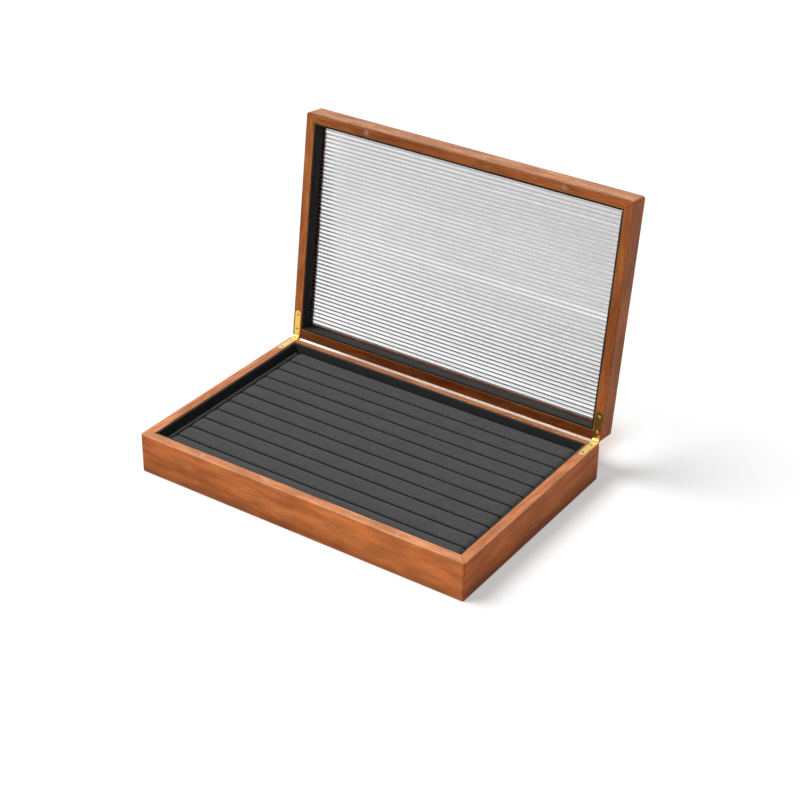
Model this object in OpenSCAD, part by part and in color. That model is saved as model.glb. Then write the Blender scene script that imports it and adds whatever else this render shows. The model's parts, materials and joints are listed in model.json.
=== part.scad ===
// Wooden ring display box: a mitred base filled with padded rolls, and a hinged
// lid that frames a clear reeded panel. Sizes are in millimetres.
// +X runs right along the front, +Y to the back and +Z up, and the origin is the
// centre of the underside. The lid is modelled shut and swung open onto its stops.

/* [Case] */
// Width of the case along its front
case_w = 350; // [280:1:450]
// Depth of the case from front to back
case_d = 231.5; // [180:0.5:300]
// Height of the base up to its rim
base_h = 39.5; // [36:0.5:60]
// Height of the lid above its parting face
lid_h = 22.5; // [20:0.5:36]
// Thickness of the wooden rails
rail_t = 9.5; // [8.5:0.5:14]
// Gap between the two parting faces with the lid shut
rim_gap = 0.5; // [0.3:0.1:0.8]
// Rounding of the base's upright corners
base_corner_r = 2.5; // [2:0.5:5]
// Rounding of the base's lower arris
base_arris_r = 1.5; // [0.5:0.1:2]
// Rounding of the lid's top arris and upright corners
lid_arris_r = 3; // [1.5:0.5:5]
// Rounding of the lid's inner top arris, round the panel
lip_arris_r = 1.5; // [0.5:0.5:3]
// Easing of the arrises along the parting faces
rim_arris_r = 0.4; // [0.2:0.1:0.8]
// Bevel along the back of the base's rim, clear of the opening lid
base_bevel = 4.1; // [1:0.1:5]
// Bevel along the back of the lid's parting face
lid_bevel = 0.5; // [0.5:0.1:3]

/* [Bottom] */
// Thickness of the felt under the case
felt_t = 0.8; // [0.5:0.1:2]
// Thickness of the bottom panel
bottom_t = 4; // [3:0.5:8]
// How far the bottom panel reaches into the rails
bottom_seat = 4; // [2:0.5:5]

/* [Linings and insert] */
// Thickness of the fabric-covered lining boards
lining_t = 1.9; // [0.8:0.1:2.5]
// How far the linings stay below the parting faces
lining_drop = 0.5; // [0.5:0.1:2]
// Rounding of the linings' free edges
lining_arris_r = 0.5; // [0.2:0.1:0.7]
// Thickness of the board that carries the rolls
board_t = 5; // [2:0.5:8]
// Gap round the insert inside the linings
insert_gap = 0.2; // [0.1:0.1:1]
// Thickness of the covered cheeks at the ends of the rolls
cheek_t = 3.8; // [2:0.1:6]
// How far the cheeks stay below the crests of the rolls
cheek_drop = 2.1; // [1:0.1:10]
// Rounding of the cheeks' upper arrises
cheek_arris_r = 1; // [0.3:0.1:1]

/* [Ring rolls] */
// Number of rolls
roll_count = 11; // [9:1:13]
// How far the crests of the rolls lie below the rim
roll_drop = 7.5; // [5:0.5:12]
// Slot between neighbouring rolls
roll_slot = 0.6; // [0.3:0.1:1.5]
// Radius of the crown across a roll
roll_crown_r = 60; // [20:1:90]
// Rounding where a roll turns down into its slots
roll_shoulder_r = 2.4; // [1.5:0.1:7]
// Rounding of a roll's upper ends, seen from the front
roll_end_r = 5.5; // [2:0.5:9]
// Rounding of a roll's corners, seen from above
roll_corner_r = 5; // [2:0.5:8]
// Gap between the ends of the rolls and the cheeks
roll_end_gap = 0.9; // [0.3:0.1:2]

/* [Reeded panel] */
// Depth of the panel's reeds below the lid's parting face
panel_inset = 12; // [8:0.5:13]
// Thickness of the panel over its reeds
panel_t = 4.5; // [3:0.1:5]
// Distance from one reed to the next
reed_pitch = 4; // [3:0.5:8]
// Height of the reeds
reed_h = 0.9; // [0.4:0.1:1.2]
// Width of the flat valley between two reeds
reed_valley = 0.2; // [0.2:0.1:1]
// How far the panel reaches into the rails
panel_seat = 4; // [2:0.5:4.5]

/* [Hinges] */
// How far the lid opens
open_angle = 97; // [90:1:110]
// Distance of the hinge axis in front of the back face
axis_inset = 0.5; // [0.2:0.1:1]
// Width of the leaves and of the barrel
hinge_w = 6.4; // [5.5:0.1:7]
// Thickness of the leaves
leaf_t = 1.2; // [0.9:0.1:1.5]
// Reach of the leaves from the hinge axis
leaf_reach = 28.2; // [24:0.1:40]
// Diameter of the barrel
barrel_d = 4; // [3.6:0.1:4.4]
// Diameter of the pin
pin_d = 1.6; // [1.2:0.1:2]
// Width of the lid's knuckle, between the two on the base
knuckle_w = 2.2; // [1.6:0.1:3]
// Height of the stop lugs above the barrel
lug_h = 1.2; // [0.8:0.1:1.6]
// Distance from the hinge axis to the nearer screw
screw_near = 9; // [7:0.5:14]
// Distance from the end of a leaf to the farther screw
screw_end = 4.2; // [3:0.1:6]
// Diameter of the screw heads
screw_head_d = 3; // [2.4:0.1:3.6]
// Diameter of the screw shanks
screw_shank_d = 1.6; // [1.2:0.1:2]
// Length of the screws
screw_l = 8; // [5:0.5:9]

/* [Magnets] */
// Distance of the magnets from the middle of the front
magnet_x = 106; // [40:1:120]
// Diameter of the magnets
magnet_d = 5; // [4:0.5:6]
// Height of the magnets
magnet_h = 4; // [2:0.5:6]

/* [Hidden] */
$fn = 96;

wood_colour = "#a85e32";
fabric_colour = "#4c4d4e";
lining_colour = "#26282a";
felt_colour = "#2f3133";
board_colour = "#8f7f6a";
brass_colour = "#d9bd5c";
steel_colour = "#a9acb0";
clear_colour = [0.92, 0.95, 0.96, 0.45];

// Overshoot of a cutting shape past the face it cuts
over = 1;
// Running clearance of the pin in the lid's knuckle
pin_gap = 0.05;
// Gap between neighbouring knuckles
knuckle_gap = 0.1;
// Clearance of a leaf and its lug over the other leaf's knuckles
lug_gap = 0.15;
// Angle that a stop lug takes up round the barrel
lug_span = 35;
// Angle that keeps the open stop lugs just clear of each other
stop_clear = 0.5;
// Gap between a leaf and the sides of its mortise
mortise_gap = 0.3;
// Gap between the lugs and the pocket in the wood
pocket_gap = 0.3;
// Diameter and thickness of the heads peened on the pin
pin_head_d = 2.4;
pin_head_t = 0.2;
// Width, length and depth of the cross cut into a screw head
cross_w = 0.4;
cross_l = 1.9;
cross_h = 0.5;
// Length of a screw's point
screw_tip = 1.6;
// Gap round a panel that floats in its rebate or groove
float_gap = 0.1;
// How far a reed runs into the flat of the panel
reed_root = 0.05;
// Facets of the flat crown across a roll
crown_fn = 720;

tall = base_h + lid_h;
lid_z = base_h + rim_gap;
axis_y = case_d / 2 - axis_inset;
axis_z = base_h + rim_gap / 2;
hinge_x = (case_w - rail_t) / 2;
magnet_y = (rail_t - case_d) / 2;

inner_w = case_w - 2 * rail_t;
inner_d = case_d - 2 * rail_t;
lined_w = inner_w - 2 * lining_t;
lined_d = inner_d - 2 * lining_t;
insert_w = lined_w - 2 * insert_gap;
insert_d = lined_d - 2 * insert_gap;

seat_z = felt_t + bottom_t;
board_z = seat_z + board_t;
roll_h = base_h - roll_drop - board_z;
roll_pitch = insert_d / roll_count;
roll_w = roll_pitch - roll_slot;
roll_l = insert_w - 2 * (cheek_t + roll_end_gap);

panel_w = inner_w + 2 * (panel_seat - float_gap);
panel_d = inner_d + 2 * (panel_seat - float_gap);
reed_w = reed_pitch - reed_valley;
reed_r = (pow(reed_w, 2) / 4 + pow(reed_h, 2)) / (2 * reed_h);
reed_count = floor(panel_d / reed_pitch);

barrel_r = barrel_d / 2;
lug_r = barrel_r + lug_h;
lug_face = (open_angle + stop_clear) / 2;
screw_far = leaf_reach - screw_end;
head_h = (screw_head_d - screw_shank_d) / 2;

function roll_name(i) = str("ring_roll_", i < 10 ? "0" : "", i);

// What a rounding takes off a corner at the origin whose body lies towards +X and +Y
module arris(r) {
    difference() {
        translate([-over, -over]) square(r + over);
        translate([r, r]) circle(r);
    }
}

// Extrudes a profile drawn in Y and Z along X, centred on X
module along_x(length) {
    rotate([90, 0, 90]) linear_extrude(length, center = true) children();
}

// Swings a piece that is drawn with the lid shut to the open lid
module opened() {
    translate([0, axis_y, axis_z])
        rotate([-open_angle, 0, 0])
            translate([0, -axis_y, -axis_z]) children();
}

// A frame rail at the front, with mitred ends and its share of the rounded corners.
// The child is its section: X inwards from the outer face, Y up.
module mitred_rail(run, across, corner_r) {
    translate([0, -across / 2, 0]) {
        intersection() {
            along_x(run - 2 * corner_r) children();
            linear_extrude(tall)
                polygon([[-run / 2, 0], [run / 2, 0], [run / 2 - rail_t, rail_t], [rail_t - run / 2, rail_t]]);
        }
        for (side = [0, 1])
            mirror([side, 0, 0])
                translate([run / 2 - corner_r, corner_r, 0])
                    rotate(-90)
                        rotate_extrude(angle = 45)
                            intersection() {
                                translate([corner_r, 0]) mirror([1, 0]) children();
                                square([corner_r, tall]);
                            }
    }
}

module base_section() {
    difference() {
        square([rail_t, base_h]);
        arris(base_arris_r);
        translate([0, base_h]) rotate(-90) arris(rim_arris_r);
        translate([rail_t, base_h]) rotate(180) arris(rim_arris_r);
        translate([rail_t - bottom_seat, -over]) square([bottom_seat + over, seat_z + over]);
    }
}

module lid_section() {
    difference() {
        square([rail_t, lid_h]);
        arris(rim_arris_r);
        translate([rail_t, 0]) rotate(90) arris(rim_arris_r);
        translate([0, lid_h]) rotate(-90) arris(lid_arris_r);
        translate([rail_t, lid_h]) rotate(180) arris(lip_arris_r);
        translate([rail_t - panel_seat, panel_inset - float_gap])
            square([panel_seat + over, panel_t + float_gap]);
    }
}

module base_rail(run, across) {
    mitred_rail(run, across, base_corner_r) base_section();
}

module lid_rail(run, across) {
    translate([0, 0, lid_z]) mitred_rail(run, across, lid_arris_r) lid_section();
}

// Takes a bevel off the base along the back; mirrored about the parting gap it fits the lid
module back_bevel(size) {
    y = case_d / 2 + over;
    z = base_h + over;
    foot = size + 2 * over;
    along_x(case_w + 2 * over) polygon([[y - foot, z], [y, z], [y, z - foot]]);
}

// Turns what is drawn for the base into what the shut lid has
module as_lid() {
    translate([0, 0, 2 * axis_z]) mirror([0, 0, 1]) children();
}

module at_hinge(side) {
    translate([side * hinge_x, axis_y, axis_z]) children();
}

// The outline of a leaf in X and Y from the hinge axis, grown by a gap
module leaf_outline(gap) {
    r = hinge_w / 2;
    straight = leaf_reach - r;
    translate([-r - gap, -straight]) square([2 * (r + gap), straight]);
    translate([0, -straight]) circle(r + gap);
}

// The leaf's mortise, the pocket for the barrel and lugs, and the screws' holes
module hinge_recess() {
    translate([0, 0, -rim_gap / 2 - leaf_t])
        linear_extrude(leaf_t + rim_gap / 2 + over) leaf_outline(mortise_gap);
    rotate([0, 90, 0])
        cylinder(r = lug_r + pocket_gap, h = hinge_w + 2 * mortise_gap, center = true);
    leaf_screws(false);
}

// A countersunk screw that points down, its head flush with z = 0
module screw(with_cross) {
    difference() {
        union() {
            translate([0, 0, -head_h])
                cylinder(r1 = screw_shank_d / 2, r2 = screw_head_d / 2, h = head_h);
            translate([0, 0, screw_tip - screw_l])
                cylinder(r = screw_shank_d / 2, h = screw_l - screw_tip - head_h);
            translate([0, 0, -screw_l]) cylinder(r1 = 0, r2 = screw_shank_d / 2, h = screw_tip);
        }
        if (with_cross)
            for (turn = [0, 90])
                rotate(turn)
                    translate([-cross_l / 2, -cross_w / 2, -cross_h])
                        cube([cross_l, cross_w, cross_h + over]);
    }
}

module leaf_screws(with_cross) {
    for (reach = [screw_near, screw_far])
        translate([0, -reach, -rim_gap / 2]) screw(with_cross);
}

// A stop lug round the axis. Its face lies half the opening below +Y.
module stop_lug() {
    far = 2 * lug_r;
    steps = [0, 0.5, 1];
    along_x(hinge_w)
        intersection() {
            circle(lug_r);
            polygon(concat(
                [[0, 0]],
                [for (k = steps) let (a = -lug_face - k * lug_span) [far * cos(a), far * sin(a)]]
            ));
        }
}

module barrel(r, width) {
    rotate([0, 90, 0]) cylinder(r = r, h = width, center = true);
}

// A leaf about the axis in the base's place, on one side of the gap.
// The children are cut away, to leave room for the other leaf's knuckles.
module hinge_leaf(pin_hole_r) {
    color(brass_colour)
        difference() {
            union() {
                translate([0, 0, -rim_gap / 2 - leaf_t]) linear_extrude(leaf_t) leaf_outline(0);
                barrel(barrel_r, hinge_w);
                stop_lug();
            }
            children();
            barrel(pin_hole_r, hinge_w + 2 * over);
            leaf_screws(false);
        }
}

module hinge_base_leaf(side) {
    at_hinge(side)
        hinge_leaf(pin_d / 2)
            barrel(barrel_r + lug_gap, knuckle_w + 2 * knuckle_gap);
}

module hinge_lid_leaf(side) {
    room_w = (hinge_w - knuckle_w) / 2 + over;
    opened() as_lid()
        at_hinge(side)
            hinge_leaf(pin_d / 2 + pin_gap)
                for (end = [-1, 1])
                    translate([end * (knuckle_w + room_w) / 2, 0, 0])
                        barrel(barrel_r + lug_gap, room_w);
}

module hinge_pin(side) {
    color(brass_colour)
        at_hinge(side) {
            barrel(pin_d / 2, hinge_w);
            for (end = [-1, 1])
                translate([end * (hinge_w + pin_head_t) / 2, 0, 0])
                    barrel(pin_head_d / 2, pin_head_t);
        }
}

module hinge_base_screws(side) {
    color(brass_colour) at_hinge(side) leaf_screws(true);
}

module hinge_lid_screws(side) {
    color(brass_colour) opened() as_lid() at_hinge(side) leaf_screws(true);
}

module magnets(side, sink) {
    translate([side * magnet_x, magnet_y, base_h - magnet_h])
        cylinder(d = magnet_d, h = magnet_h + sink);
}

module base_magnet(side) {
    color(steel_colour) magnets(side, 0);
}

module lid_magnet(side) {
    color(steel_colour) opened() as_lid() magnets(side, 0);
}

module base_front_rail() {
    color(wood_colour)
        difference() {
            base_rail(case_w, case_d);
            for (side = [-1, 1]) magnets(side, over);
        }
}

module base_back_rail() {
    color(wood_colour)
        difference() {
            rotate(180) base_rail(case_w, case_d);
            back_bevel(base_bevel);
            for (side = [-1, 1]) at_hinge(side) hinge_recess();
        }
}

module base_side_rail(side) {
    color(wood_colour)
        difference() {
            rotate(side * 90) base_rail(case_d, case_w);
            back_bevel(base_bevel);
            at_hinge(side) hinge_recess();
        }
}

module lid_front_rail() {
    color(wood_colour)
        opened()
            difference() {
                lid_rail(case_w, case_d);
                as_lid() for (side = [-1, 1]) magnets(side, over);
            }
}

module lid_back_rail() {
    color(wood_colour)
        opened()
            difference() {
                rotate(180) lid_rail(case_w, case_d);
                as_lid() back_bevel(lid_bevel);
                as_lid() for (side = [-1, 1]) at_hinge(side) hinge_recess();
            }
}

module lid_side_rail(side) {
    color(wood_colour)
        opened()
            difference() {
                rotate(side * 90) lid_rail(case_d, case_w);
                as_lid() back_bevel(lid_bevel);
                as_lid() at_hinge(side) hinge_recess();
            }
}

// The plywood panel in the rebate under the rails
module base_panel() {
    color(board_colour)
        translate([0, 0, felt_t]) linear_extrude(bottom_t) bottom_outline();
}

module base_felt() {
    color(felt_colour) linear_extrude(felt_t) bottom_outline();
}

module bottom_outline() {
    grow = 2 * (bottom_seat - float_gap);
    square([inner_w + grow, inner_d + grow], center = true);
}

// A lining board along the front of an opening, its free edge rounded at the top
module lining(length, across, z_low, z_high) {
    color(lining_colour)
        translate([0, -across / 2, 0])
            along_x(length)
                difference() {
                    translate([0, z_low]) square([lining_t, z_high - z_low]);
                    translate([lining_t, z_high]) rotate(180) arris(lining_arris_r);
                }
}

module base_lining(length, across, turn) {
    rotate(turn) lining(length, across, seat_z, base_h - lining_drop);
}

// The lid's linings run from the panel to their free edge at the parting face
module lid_lining(length, across, turn) {
    opened() as_lid()
        rotate(turn)
            lining(length, across, base_h - panel_inset + float_gap, base_h - lining_drop);
}

module insert_board() {
    color(fabric_colour)
        translate([0, 0, seat_z])
            linear_extrude(board_t) square([insert_w, insert_d], center = true);
}

// A covered strip that stands at the ends of the rolls
module insert_cheek(side) {
    color(lining_colour)
        translate([side * (insert_w - cheek_t) / 2, 0, board_z])
            rotate([90, 0, 0])
                linear_extrude(insert_d, center = true)
                    rounded_top(cheek_t, roll_h - cheek_drop, cheek_arris_r);
}

// A block profile with its two upper corners rounded
module rounded_top(width, height, r) {
    difference() {
        translate([-width / 2, 0]) square([width, height]);
        translate([width / 2, height]) rotate(180) arris(r);
        translate([-width / 2, height]) rotate(-90) arris(r);
    }
}

// A padded roll: crowned across, its ends turned down and rounded in plan
module ring_roll(i) {
    y = (i - (roll_count + 1) / 2) * roll_pitch;
    color(fabric_colour)
        translate([0, y, board_z])
            intersection() {
                along_x(roll_l)
                    intersection() {
                        rounded_top(roll_w, roll_h, roll_shoulder_r);
                        translate([0, roll_h - roll_crown_r]) circle(roll_crown_r, $fn = crown_fn);
                    }
                rotate([90, 0, 0])
                    linear_extrude(roll_w, center = true) rounded_top(roll_l, roll_h, roll_end_r);
                linear_extrude(roll_h) roll_plan();
            }
}

module roll_plan() {
    difference() {
        square([roll_l, roll_w], center = true);
        for (turn = [0, 180])
            rotate(turn) {
                translate([-roll_l / 2, -roll_w / 2]) arris(roll_corner_r);
                translate([-roll_l / 2, roll_w / 2]) rotate(-90) arris(roll_corner_r);
            }
    }
}

// The clear panel: flat outside, with rounded reeds along X on its inner side
module lid_panel() {
    color(clear_colour)
        opened()
            translate([0, 0, lid_z + panel_inset])
                along_x(panel_w) {
                    translate([-panel_d / 2, reed_h]) square([panel_d, panel_t - reed_h]);
                    for (k = [1 : reed_count]) reed((k - (reed_count + 1) / 2) * reed_pitch);
                }
}

// The cap of a circle that stands over the panel's flat by the height of a reed
module reed(y) {
    intersection() {
        translate([y, reed_r]) circle(reed_r);
        translate([y - reed_pitch / 2, 0]) square([reed_pitch, reed_h + reed_root]);
    }
}

base_front_rail();
base_back_rail();
base_side_rail(-1);  // base_left_rail
base_side_rail(1);  // base_right_rail
base_panel();
base_felt();
base_lining(inner_w, inner_d, 0);  // base_lining_front
base_lining(inner_w, inner_d, 180);  // base_lining_back
base_lining(lined_d, inner_w, -90);  // base_lining_left
base_lining(lined_d, inner_w, 90);  // base_lining_right
insert_board();
insert_cheek(-1);  // insert_left_cheek
insert_cheek(1);  // insert_right_cheek
for (i = [1 : roll_count])
    ring_roll(i);
base_magnet(-1);  // base_magnet_left
base_magnet(1);  // base_magnet_right
hinge_base_leaf(-1);  // hinge_left_base_leaf
hinge_base_leaf(1);  // hinge_right_base_leaf
hinge_pin(-1);  // hinge_left_pin
hinge_pin(1);  // hinge_right_pin
hinge_base_screws(-1);  // hinge_left_base_screws
hinge_base_screws(1);  // hinge_right_base_screws
lid_front_rail();
lid_back_rail();
lid_side_rail(-1);  // lid_left_rail
lid_side_rail(1);  // lid_right_rail
lid_lining(inner_w, inner_d, 0);  // lid_lining_front
lid_lining(inner_w, inner_d, 180);  // lid_lining_back
lid_lining(lined_d, inner_w, -90);  // lid_lining_left
lid_lining(lined_d, inner_w, 90);  // lid_lining_right
lid_panel();
lid_magnet(-1);  // lid_magnet_left
lid_magnet(1);  // lid_magnet_right
hinge_lid_leaf(-1);  // hinge_left_lid_leaf
hinge_lid_leaf(1);  // hinge_right_lid_leaf
hinge_lid_screws(-1);  // hinge_left_lid_screws
hinge_lid_screws(1);  // hinge_right_lid_screws
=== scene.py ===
"""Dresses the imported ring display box: timber, brass, padded rolls, linings and the reeded panel."""

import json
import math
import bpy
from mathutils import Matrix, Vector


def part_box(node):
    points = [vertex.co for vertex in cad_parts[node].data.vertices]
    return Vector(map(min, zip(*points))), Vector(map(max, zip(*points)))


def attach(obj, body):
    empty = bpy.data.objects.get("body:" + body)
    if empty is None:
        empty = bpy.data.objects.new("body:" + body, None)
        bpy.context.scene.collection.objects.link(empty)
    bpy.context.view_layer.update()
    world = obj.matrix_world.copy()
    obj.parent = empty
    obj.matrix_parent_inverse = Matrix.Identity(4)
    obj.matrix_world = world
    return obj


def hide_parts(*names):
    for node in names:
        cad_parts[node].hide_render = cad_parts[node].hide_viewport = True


bl_info = {
    "name": "Ring display box",
    "version": (1, 0, 0),
    "blender": (4, 5, 0),
    "location": "View3D > Sidebar > Display Box",
    "description": "Gives the packed display box its timber, fabrics, brass and reeded panel",
    "category": "Object",
}

import bmesh
import bpy
import numpy as np
from mathutils import Euler, Matrix, Vector, noise

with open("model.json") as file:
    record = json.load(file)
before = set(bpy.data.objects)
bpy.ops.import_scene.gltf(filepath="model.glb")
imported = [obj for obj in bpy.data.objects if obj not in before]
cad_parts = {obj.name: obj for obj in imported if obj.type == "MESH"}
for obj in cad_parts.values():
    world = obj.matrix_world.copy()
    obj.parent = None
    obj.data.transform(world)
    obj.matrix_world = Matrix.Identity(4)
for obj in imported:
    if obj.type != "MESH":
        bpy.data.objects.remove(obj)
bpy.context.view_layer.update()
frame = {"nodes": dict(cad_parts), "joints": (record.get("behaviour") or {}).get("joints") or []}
NODES = frame["nodes"]
LID_HINGE = frame["joints"][0]

MM = 0.001

# The sizes that the frame gives, in metres
CASE_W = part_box("base_front_rail")[1].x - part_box("base_front_rail")[0].x
CASE_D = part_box("base_left_rail")[1].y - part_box("base_left_rail")[0].y
BASE_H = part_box("base_front_rail")[1].z
RAIL_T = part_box("base_front_rail")[1].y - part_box("base_front_rail")[0].y
AXIS = Vector(LID_HINGE["pos_m"])
OPEN_ANGLE = math.radians(LID_HINGE["range_deg"][1])
OPENING = Matrix.Translation(AXIS) @ Matrix.Rotation(-OPEN_ANGLE, 4, "X") @ Matrix.Translation(-AXIS)
SHUTTING = OPENING.inverted()
# Heights of the two parting faces with the lid shut
RIMS = {"base": BASE_H, "lid": 2 * AXIS.z - BASE_H}


def board(shade, painted_light_tilt, rim_painted_shade, rim_painted_light, outer_painted_light=0.0, red=0.0, figure=1.0, lip_shade=0.0):
    """How one rail's timber differs: tone, partly painted shade; painted light and shade along it; painted
    shade and painted light on the parting face; painted light on an outer face; hue; contrast; and painted
    shade at the lip.
    """
    return dict(
        shade=shade,
        painted_light_tilt=painted_light_tilt,
        rim_painted_shade=rim_painted_shade,
        rim_painted_light=rim_painted_light,
        outer_painted_light=outer_painted_light,
        red=red,
        figure=figure,
        lip_shade=lip_shade,
    )


# Per rail: tone, partly painted shade; painted light and shade along it and on its parting and outer faces;
# hue; contrast; and painted shade at the lip
RAILS = {
    "base_front_rail": board(0.99, 0.07, 1.0, 0.8, figure=0.42),
    "base_right_rail": board(0.94, -0.05, 0.93, 0.8, red=0.1, figure=0.2),
    "base_back_rail": board(1.0, 0.0, 0.6, 0.7),
    "base_left_rail": board(0.95, 0.04, 0.9, 0.7, red=0.04),
    "lid_front_rail": board(0.76, 0.05, 0.92, 0.0, 1.0),
    "lid_right_rail": board(0.72, 0.03, 0.92, 0.0),
    "lid_back_rail": board(0.74, 0.0, 0.36, 0.0, red=0.05, lip_shade=1.0),
    "lid_left_rail": board(0.76, 0.0, 0.92, 0.0),
}

ROLLS = sorted(n for n in NODES if n.startswith("ring_roll_"))
# Roundings of a padded roll: its shoulders, the crown across it, its ends, and its corners in plan
ROLL_SHOULDER = 2.4 * MM
ROLL_CROWN = 60 * MM
ROLL_END = 4.4 * MM
ROLL_CORNER = 2.6 * MM
# The foam is a little smaller than the roll and held up to a height. Its cover swells by no more
# than a limit, and no side of a roll stands out further than the bulge.
ROLL_SLACK = Vector((0.3, 0.2, 0.3)) * MM
ROLL_GLUED = 3 * MM
ROLL_PRESSURE = 1.2
ROLL_SWELL = 0.4 * MM
ROLL_BULGE = 0.12 * MM
# Lengths of the timber's figure along, across and through a rail, in millimetres
SWAY = (150, 45, 45)
RIPPLE = (22, 9, 9)
BANDS = (120, 6, 6)
FIBRES = (55, 1.2, 1.2)
CLOUDS = (44, 14, 14)
CURLS = (22, 2.2, 2.2)
PATCHES = (90, 24, 24)
FLECKS = (4.5, 0.6, 0.6)
# Bounds of the shade in the lid's groove, in millimetres from the outer and the parting face
GROOVE_IN = (4.2, 4.6)
GROOVE_TOP = (11.2, 11.7)
GROOVE_END = (22.3, 21.9)
# Where the key light comes from
KEY_FROM = Vector((-0.44, -0.2, 0.875))
# How bright the floor looks through the panel, and the share of it that does
PANEL_WHITE = 1.75
PANEL_SHARE = 0.85
# The camera's bearing, height and roll in degrees, what it looks at, how far off, and its lens
CAMERA_ANGLES = (33.50, 30.59, 1.02)
CAMERA_TARGET = Vector((31.68, 0, 90.89)) * MM
CAMERA_DISTANCE = 1626.3 * MM
CAMERA_LENS = 82.32


def colour(code):
    """Linear red, green and blue of a colour written as on a screen, such as b5683c."""
    parts = [int(code[i : i + 2], 16) / 255 for i in (0, 2, 4)]
    return tuple(p / 12.92 if p <= 0.04045 else ((p + 0.055) / 1.055) ** 2.4 for p in parts)


# Node trees


class Wire:
    """An output socket of a node tree. Python's operators on it add Math nodes."""

    def __init__(self, tree, socket):
        self.tree = tree
        self.socket = socket

    def maths(self, operation, *values):
        return self.tree.node("ShaderNodeMath", {"operation": operation}, dict(enumerate(values)))

    def __add__(self, other):
        return self.maths("ADD", self, other)

    def __radd__(self, other):
        return self.maths("ADD", other, self)

    def __sub__(self, other):
        return self.maths("SUBTRACT", self, other)

    def __rsub__(self, other):
        return self.maths("SUBTRACT", other, self)

    def __mul__(self, other):
        return self.maths("MULTIPLY", self, other)

    def __rmul__(self, other):
        return self.maths("MULTIPLY", other, self)

    def __truediv__(self, other):
        return self.maths("DIVIDE", self, other)

    def __abs__(self):
        return self.maths("ABSOLUTE", self)

    def __gt__(self, other):
        return self.maths("GREATER_THAN", self, other)

    def __lt__(self, other):
        return self.maths("LESS_THAN", self, other)

    def other(self, name):
        """Another output of the same node."""
        return Wire(self.tree, self.socket.node.outputs[name])


class Tree:
    """A shader or geometry tree, built one node at a time."""

    def __init__(self, tree):
        self.tree = tree

    def node(self, kind, settings=None, sockets=None, out=0):
        """Adds a node of a kind, with its settings made first and then its sockets fed."""
        made = self.tree.nodes.new(kind)
        for name, value in (settings or {}).items():
            setattr(made, name, value)
        for name, value in (sockets or {}).items():
            self.feed(made.inputs[name], value)
        return Wire(self, made.outputs[out]) if len(made.outputs) else made

    def feed(self, socket, value):
        if isinstance(value, Wire):
            self.tree.links.new(value.socket, socket)
        elif socket.type == "RGBA" and len(value) == 3:
            socket.default_value = (*value, 1)
        else:
            socket.default_value = value

    def vector(self, operation, *values, out=0):
        return self.node("ShaderNodeVectorMath", {"operation": operation}, dict(enumerate(values)), out)

    def split(self, place):
        """The X of a vector, whose Y and Z are other outputs."""
        return self.node("ShaderNodeSeparateXYZ", None, {0: place})

    def noise(self, place, stretch, detail=2, roughness=0.5, out=0):
        """Noise whose pattern repeats about once in each length of stretch, in millimetres."""
        scaled = self.vector("MULTIPLY", place, tuple(1 / s for s in stretch))
        sockets = {"Vector": scaled, "Scale": 1, "Detail": detail, "Roughness": roughness}
        return self.node("ShaderNodeTexNoise", None, sockets, out)

    def between(self, value, low, high, to_low=0, to_high=1):
        """The value eased from one pair of limits to another, and held outside them."""
        sockets = {"Value": value, "From Min": low, "From Max": high, "To Min": to_low, "To Max": to_high}
        return self.node("ShaderNodeMapRange", {"interpolation_type": "SMOOTHSTEP"}, sockets)

    def mix(self, share, a, b, blend="MIX"):
        """One colour turned into another by a share, or blended with it."""
        settings = {"data_type": "RGBA", "blend_type": blend}
        return self.node("ShaderNodeMix", settings, {0: share, 6: a, 7: b}, 2)

    def deepened(self, tint, red, green=None, blue=None):
        """A colour times a number, or times one for each channel."""
        levels = {0: red, 1: green or red, 2: blue or red}
        return self.mix(1, tint, self.node("ShaderNodeCombineColor", None, levels), "MULTIPLY")

    def bump(self, strength, distance, height):
        """A normal from a height, at full height a distance in millimetres."""
        sockets = {"Strength": strength, "Distance": distance * MM, "Height": height}
        return self.node("ShaderNodeBump", None, sockets)

    def principled(self, **sockets):
        """The Principled shader, with its sockets named in small letters."""
        named = {name.replace("_", " ").title().replace("Ior", "IOR"): v for name, v in sockets.items()}
        return self.node("ShaderNodeBsdfPrincipled", None, named)

    def finish(self, surface):
        self.node("ShaderNodeOutputMaterial", None, {"Surface": surface})


def material(name):
    """A new material and its bare tree."""
    made = bpy.data.materials.new(name)
    made.use_nodes = True
    made.node_tree.nodes.clear()
    return made, Tree(made.node_tree)


def millimetres(tree, turn=0.0, opened=False):
    """Object coordinates in millimetres, with the lid shut and the piece turned to the front."""
    place = tree.node("ShaderNodeTexCoord", None, None, "Object")
    spin = Matrix.Rotation(-turn, 4, "Z")
    shift = spin @ SHUTTING.translation if opened else Vector()
    rotation = Euler((OPEN_ANGLE if opened else 0, 0, -turn))
    sockets = {
        "Vector": place,
        "Location": shift / MM,
        "Rotation": rotation,
        "Scale": (1 / MM, 1 / MM, 1 / MM),
    }
    return tree.node("ShaderNodeMapping", {"vector_type": "POINT"}, sockets)


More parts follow.
